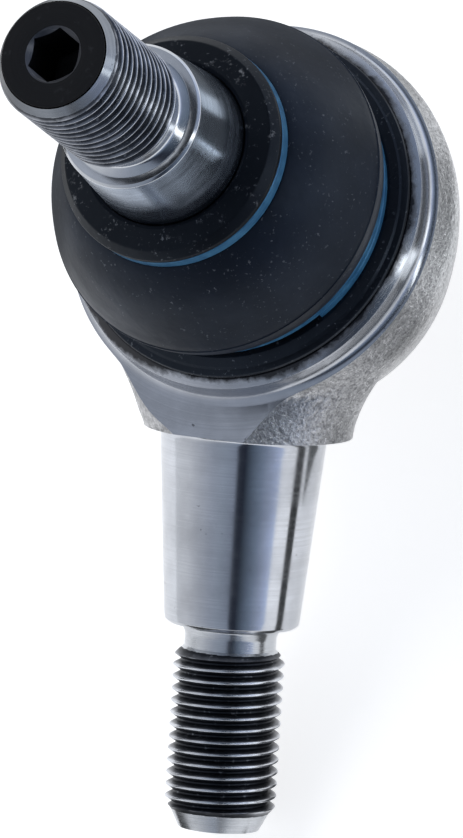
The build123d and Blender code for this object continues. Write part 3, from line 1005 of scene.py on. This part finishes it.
def boot_shoulder_and_neck(rubber, lip_rubber):
    """Upper half of the boot: the shoulder, the ring's groove and the sealing lip."""
    neck_groove_r = NECK_RING_R - RING_THICK
    ring_top = NECK_RING_Z + NECK_RING_HEIGHT
    lower_lip = INSERT_Z[0] - 1.0
    gap = 0.1
    outer = curve_through([
        BELLY_LOW, (BULGE_R, BULGE_Z), *SHOULDER_OUTLINE, (NECK_RING_R, NECK_RING_Z - 0.15),
        (12.5, 26.8),
    ], 12)[12:73]
    # the mould's parting line, a fine bead round the widest part
    bead = [(BULGE_R, BULGE_Z), (BULGE_R + 0.1, BULGE_Z + 0.08), (BULGE_R + 0.1, BULGE_Z + 0.26),
            (BULGE_R - 0.03, BULGE_Z + 0.36)]
    outer = bead + [spot for spot in outer if spot[1] > BULGE_Z + 0.45]
    lip = rounded([
        (NECK_RING_R - 0.1, NECK_RING_Z - 0.1),
        (neck_groove_r, NECK_RING_Z - 0.1, 0.1),
        (neck_groove_r, ring_top, 0.1),
        (NECK_RING_R - 0.05, ring_top, 0.15),
        (NECK_RING_R - 0.05, ring_top + 0.75, 0.3),
        (NECK_RING_R - 1.0, BOOT_TOP_Z - 0.5, 0.5),
        (taper_radius(BOOT_TOP_Z) + 0.6, BOOT_TOP_Z, 0.25),
        (taper_radius(BOOT_TOP_Z) + gap, BOOT_TOP_Z - 0.3, 0.15),
        (taper_radius(INSERT_Z[1]) + gap, INSERT_Z[1]),
        (INSERT_R, INSERT_Z[1]),
        (INSERT_R, INSERT_Z[0]),
        (taper_radius(INSERT_Z[0]) + gap, INSERT_Z[0]),
        (taper_radius(lower_lip) + gap, lower_lip),
        (12.9, lower_lip),
    ])
    inner = curve_through([
        (11.0, lower_lip + 0.6), (12.9, lower_lip), (LINING_R - 2.7, BULGE_Z + 6.6),
        (LINING_R, BULGE_Z), (LINING_R, BULGE_Z - 3),
    ], 12)[13:37]
    shape = spin(outer + lip + inner, closed=True)

    def paint(_radius, height):
        return np.where(height > NECK_RING_Z, 1, 0)

    piece = make_piece("boot_upper", shape, [rubber, lip_rubber], paint)
    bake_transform(piece)
    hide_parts("boot_upper")


def strip(name, turns, path, height, thick, material):
    """A flat strip wound round the axis.

    path gives its starting angle, outer radius and middle height at a turn.
    """
    bevel = min(0.12, 0.3 * thick)
    steps = int(turns * 220)
    section = ((0, -0.5), (0, 0.5), (-1, 0.5), (-1, -0.5))
    rings = []
    for k in range(steps + 1):
        turn = k / steps * turns
        start, outer_r, middle = path(turn)
        angle = start + 2 * pi * turn
        corners = []
        for index, (inward, up) in enumerate(section):
            r = outer_r + inward * thick
            z = middle + up * height
            towards_r = bevel if inward else -bevel
            towards_z = -bevel if up > 0 else bevel
            pair = [(r + towards_r, z), (r, z + towards_z)]
            if index % 2:
                pair.reverse()
            corners += pair
        rings.append([(r * cos(angle), r * sin(angle), z) for r, z in corners])
    count = len(rings[0])
    faces = bands(len(rings), count)
    faces.append(tuple(range(count)))
    faces.append(tuple(range(steps * count, (steps + 1) * count)))
    return make_piece(name, (np.array(rings).reshape(-1, 3), faces), [material], sharp=30)


def foot_ring(blue):
    """The lower ring: a wire wound nearly one and a half turns, its ends side by side."""
    lap = 0.42
    wire = RING_HEIGHT / 2 - 0.03

    def path(turn):
        climb = min(max((turn - lap) / (1 - lap), 0.0), 1.0)
        climb = climb * climb * (3 - 2 * climb)
        middle = FOOT_RING_Z + RING_HEIGHT * (0.25 + 0.5 * climb)
        return radians(48), FOOT_RING_R, middle

    piece = strip("foot_ring", 1 + lap, path, wire, RING_THICK, blue)
    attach(piece, "housing")
    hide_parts("clamp_lower")


def neck_ring(blue):
    """The upper ring: a wide strip wound twice over itself."""
    gap = 0.03
    thick = RING_THICK / 2 - gap
    middle = NECK_RING_Z + NECK_RING_HEIGHT / 2 - 0.05

    def path(turn):
        outer_r = NECK_RING_R - thick - gap + (thick + gap) * min(turn, 1.9) / 1.9
        return radians(250), outer_r, middle

    piece = strip("neck_ring", 1.95, path, NECK_RING_HEIGHT - 0.15, thick, blue)
    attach(piece, "boot_neck")
    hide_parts("clamp_upper")


def finish_inner_nodes(plastic, spring, seal, insert):
    """Better materials on the CAD pieces that stay inside."""
    for node, material in (
        ("shell_upper", plastic), ("shell_lower", plastic), ("preload_spring", spring),
        ("cover_seal", seal), ("neck_insert", insert),
    ):
        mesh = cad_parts[node].data
        mesh.materials.clear()
        mesh.materials.append(material)


# ---------------------------------------------------------------- floor, light

# the surroundings' colours at angles in degrees round the shank, from the camera's side
SURROUNDINGS = (
    (-180, (1.00, 1.02, 1.05)), (-130, (0.92, 0.94, 0.97)), (-87, (0.78, 0.80, 0.84)),
    (-65, (0.56, 0.59, 0.65)), (-45, (0.41, 0.45, 0.53)), (-27, (0.34, 0.39, 0.47)),
    (-11, (0.27, 0.31, 0.39)), (-6, (0.035, 0.042, 0.06)), (3, (0.02, 0.025, 0.04)),
    (13, (0.09, 0.12, 0.165)), (30, (0.215, 0.27, 0.365)), (42, (0.35, 0.41, 0.55)),
    (55, (0.53, 0.62, 0.85)), (67, (1.0, 1.08, 1.25)), (100, (1.0, 1.08, 1.25)),
    (180, (1.00, 1.02, 1.05)),
)
# what lies on the table round the stud, as (from and to azimuth, near and far radius, strength)
TABLE_PATCHES = (
    (-112, -78, 46, 120, 0.22), (-24, 8, 76, 120, 0.06), (74, 80, 50, 110, 0.12),
    (6, 30, 57, 70, 0.08), (46, 74, 26, 46, 0.15), (86, 128, 28, 43, 1.5),
    (80, 93, 46, 120, 2.2), (93, 134, 44, 120, 0.10), (134, 155, 44, 120, 1.25),
    (155, 226, 44, 120, 0.24), (226, 248, 44, 120, 0.05),
)
PATCH_STEPS = 6
TABLE_FLAG = ((1, 63), (-7, 132), (75, 26), (77, 14))
FLOOR_HALF = 4.0


def pale_floor():
    """A plain pale floor under the object."""
    low = cad_box[0][2]
    far = FLOOR_HALF
    corners = ((-far, -far), (far, -far), (far, far), (-far, far))
    mesh = bpy.data.meshes.new("floor")
    mesh.from_pydata([(x, y, low) for x, y in corners], [], [(0, 1, 2, 3)])
    ground = placed("floor", mesh)
    material, tree, shader = new_material("floor")
    cloud = grain(tree, place(tree), 3.0, 2.0)
    feed(
        tree, shader, Roughness=0.9, Emission_Color=(1, 1, 1, 1), Emission_Strength=0.78,
        Base_Color=blended(tree, cloud, (0.50, 0.505, 0.51), (0.54, 0.54, 0.54)),
    )
    mesh.materials.append(material)


def surroundings():
    """Soft surroundings in broad bands about the shank's direction, white to the camera."""
    world = bpy.data.worlds.new("studio")
    bpy.context.scene.world = world
    world.use_nodes = True
    tree = world.node_tree
    tree.nodes.clear()
    direction = add(tree, "ShaderNodeTexCoord").outputs["Generated"]
    across, ahead = (
        add(tree, "ShaderNodeVectorMath", {0: direction, 1: way}, operation="DOT_PRODUCT")
        for way in (CAMERA_UP.cross(TOWARD_CAMERA), TOWARD_CAMERA)
    )
    angle = figure(tree, "ARCTAN2", across.outputs["Value"], ahead.outputs["Value"])
    colours = add(tree, "ShaderNodeValToRGB", {0: ranged(tree, angle, -pi, pi)})
    ramp = colours.color_ramp
    ramp.elements[0].position = 0
    ramp.elements[0].color = (*SURROUNDINGS[0][1], 1)
    ramp.elements[1].position = 1
    ramp.elements[1].color = (*SURROUNDINGS[-1][1], 1)
    for degrees, colour in SURROUNDINGS[1:-1]:
        ramp.elements.new((degrees + 180) / 360).color = (*colour, 1)
    seen = add(tree, "ShaderNodeLightPath").outputs["Is Camera Ray"]
    colour = blended(tree, seen, colours.outputs[0], (1, 1, 1))
    light = add(tree, "ShaderNodeBackground", {"Color": colour, "Strength": 1.0})
    output = add(tree, "ShaderNodeOutputWorld")
    tree.links.new(light.outputs[0], output.inputs[0])


def soft_light(name, direction, distance, size, power, colour):
    """A round lamp that gives soft light and is not seen itself."""
    lamp = bpy.data.lights.new(name, "AREA")
    lamp.shape = "DISK"
    lamp.size = size
    lamp.energy = power
    lamp.color = colour
    holder = placed(name, lamp)
    towards_lamp = Vector(direction).normalized()
    holder.location = towards_lamp * distance
    holder.rotation_euler = towards_lamp.to_track_quat("Z", "Y").to_euler()
    holder.visible_camera = False
    holder.visible_glossy = False


def reflected_card(name, corners, strength):
    """A card seen only in reflections: a strip light or, with little strength, a dark flag."""
    mesh = bpy.data.meshes.new(name)
    mesh.from_pydata([tuple(c * MM for c in corner) for corner in corners], [], [(0, 1, 2, 3)])
    card = placed(name, mesh)
    material, tree, shader = new_material(name)
    feed(tree, shader, Base_Color=(0, 0, 0, 1), Specular_IOR_Level=0,
         Emission_Color=(0.93, 0.97, 1.0, 1), Emission_Strength=strength)
    material.cycles.emission_sampling = "NONE"
    mesh.materials.append(material)
    for ray in ("camera", "diffuse", "shadow", "transmission", "volume_scatter"):
        setattr(card, f"visible_{ray}", False)


def strip_card(name, azimuth, spread, distance, low, high, strength):
    """An upright strip light at an azimuth about the stud, between two elevations in degrees."""
    corners = []
    for turn, rise in ((-spread, low), (spread, low), (spread, high), (-spread, high)):
        around = radians(azimuth + turn)
        height = distance * tan(radians(rise))
        corners.append((distance * cos(around), distance * sin(around), height))
    reflected_card(name, corners, strength)


def table_cards():
    """Dark and bright patches on the table that only reflections see."""
    floor_z = cad_box[0][2] / MM + 0.3
    for number, (start, end, near, far, strength) in enumerate(TABLE_PATCHES):
        edges = [radians(start + (end - start) * k / PATCH_STEPS) for k in range(PATCH_STEPS + 1)]
        for k, (a, b) in enumerate(zip(edges, edges[1:])):
            spots = ((near, a), (far, a), (far, b), (near, b))
            corners = [(r * cos(w), r * sin(w), floor_z) for r, w in spots]
            reflected_card(f"ground_{number}_{k}", corners, strength)
    reflected_card("flag", [(x, y, floor_z + 0.1) for x, y in TABLE_FLAG], 0.05)


def camera():
    """The camera at the photo's angle."""
    toward = TOWARD_CAMERA
    right = CAMERA_UP.cross(toward).normalized()
    up = toward.cross(right)
    spot = (CAMERA_DISTANCE * toward - CAMERA_ASIDE * right - CAMERA_RAISE * up) * MM
    data = bpy.data.cameras.new("camera")
    data.lens = CAMERA_LENS
    data.sensor_width = SENSOR
    holder = placed("camera", data)
    holder.matrix_world = Matrix((
        (right.x, up.x, toward.x, spot.x),
        (right.y, up.y, toward.y, spot.y),
        (right.z, up.z, toward.z, spot.z),
        (0, 0, 0, 1),
    ))
    bpy.context.scene.camera = holder


def build():
    """Every piece with its finishes."""
    cone = turned_steel("cone_steel", tone=(0.62, 0.64, 0.68), rough=0.13, groove=0.0006,
                        tilted=True, stretch=0.3, streaks=0.22)
    tip = turned_steel("tip_steel", tone=(0.58, 0.60, 0.63), rough=0.24, tilted=True, stretch=0.5)
    # the taper's dark bluish tone is a painted reflection of dark blue-grey surroundings
    taper = turned_steel("taper_steel", tone=(0.31, 0.365, 0.45), rough=0.20, groove=0.0,
                         stretch=0.25, streaks=0.0, per_mm=1.6)
    grooved = turned_steel("relief_steel", tone=(0.66, 0.68, 0.71), rough=0.14, groove=0.0002,
                           stretch=0.3, streaks=0.0, per_mm=1.6)
    mouth = turned_steel("mouth_steel", tone=(0.12, 0.125, 0.14), rough=0.42)
    # painted shade: the chamfer's darker tone and its darkened side towards -85 degrees
    chamfer = turned_steel("chamfer_steel", tone=(0.25, 0.27, 0.30), rough=0.20, groove=0.0006)
    chamfer = paint_side_shade(chamfer, degrees=-85, low=0.0, high=0.75, share=0.8)
    shank_thread = rolled_thread("shank_thread", SHANK_THREAD_R, tilted=True)
    # painted shade: the stud thread's darker tone and flanks, and its darkened side towards -27
    # degrees
    stud_thread = rolled_thread("stud_thread", STUD_THREAD_R, tone=(0.50, 0.52, 0.57),
                                span=(0.70, 1.06), flank=(0.055, 0.06, 0.07))
    stud_thread = paint_side_shade(stud_thread, degrees=-27, low=0.3, high=0.95, share=0.4)
    rim = rim_steel()
    rubber = boot_rubber()
    foot_rubber = boot_rubber(
        "foot_rubber", dark=(0.006, 0.0068, 0.009), light=(0.013, 0.0145, 0.018),
        rough=(0.36, 0.24), dusty=0.5, gloss=0.36)
    lip_rubber = boot_rubber(
        "lip_rubber", dark=(0.0025, 0.003, 0.0042), light=(0.006, 0.007, 0.009),
        rough=(0.42, 0.30), dusty=0.40, soiled=0.45, gloss=0.21)
    blue = blue_clamp()

    ball_stud([taper, stud_thread, dark_end(), mouth, chamfer, grooved])
    shank(cone, shank_thread, tip)
    forging(forged_steel(), rim)
    turned_rim(rim)
    rolled_edge(turned_steel("turned_steel"))
    cover(plain_finish("pressed_steel", (0.16, 0.16, 0.17), (0.34, 0.34, 0.35),
                       metallic=0.9, rough=0.42, scale=700.0, depth=0.01))
    boot_foot_and_belly(rubber, foot_rubber)
    boot_shoulder_and_neck(rubber, lip_rubber)
    foot_ring(blue)
    neck_ring(blue)
    finish_inner_nodes(
        plastic=plain_finish("bearing_plastic", (0.55, 0.53, 0.47), (0.72, 0.70, 0.64),
                             metallic=0.0, rough=0.4, scale=900.0, depth=0.006),
        spring=plain_finish("spring_steel", (0.10, 0.10, 0.11), (0.26, 0.26, 0.28),
                            metallic=0.9, rough=0.35, scale=800.0, depth=0.006),
        seal=plain_finish("seal_rubber", (0.010, 0.010, 0.011), (0.022, 0.022, 0.024),
                          metallic=0.0, rough=0.5, scale=1200.0, depth=0.01),
        insert=plain_finish("insert_steel", (0.20, 0.20, 0.21), (0.38, 0.38, 0.40),
                            metallic=0.9, rough=0.4, scale=700.0, depth=0.01),
    )


build()
pale_floor()
surroundings()
camera()
soft_light("key", (-0.4, -0.5, 1.0), distance=1.6, size=0.9, power=9.0, colour=(1.0, 0.99, 0.97))
strip_card("strip_near", 89, spread=4, distance=320, low=14, high=62, strength=3.5)
strip_card("strip_side", 103, spread=7, distance=320, low=-7, high=13, strength=2.4)
strip_card("flag_left", -108, spread=30, distance=320, low=-9, high=13, strength=0.03)
table_cards()
bpy.context.scene.view_settings.view_transform = "Standard"
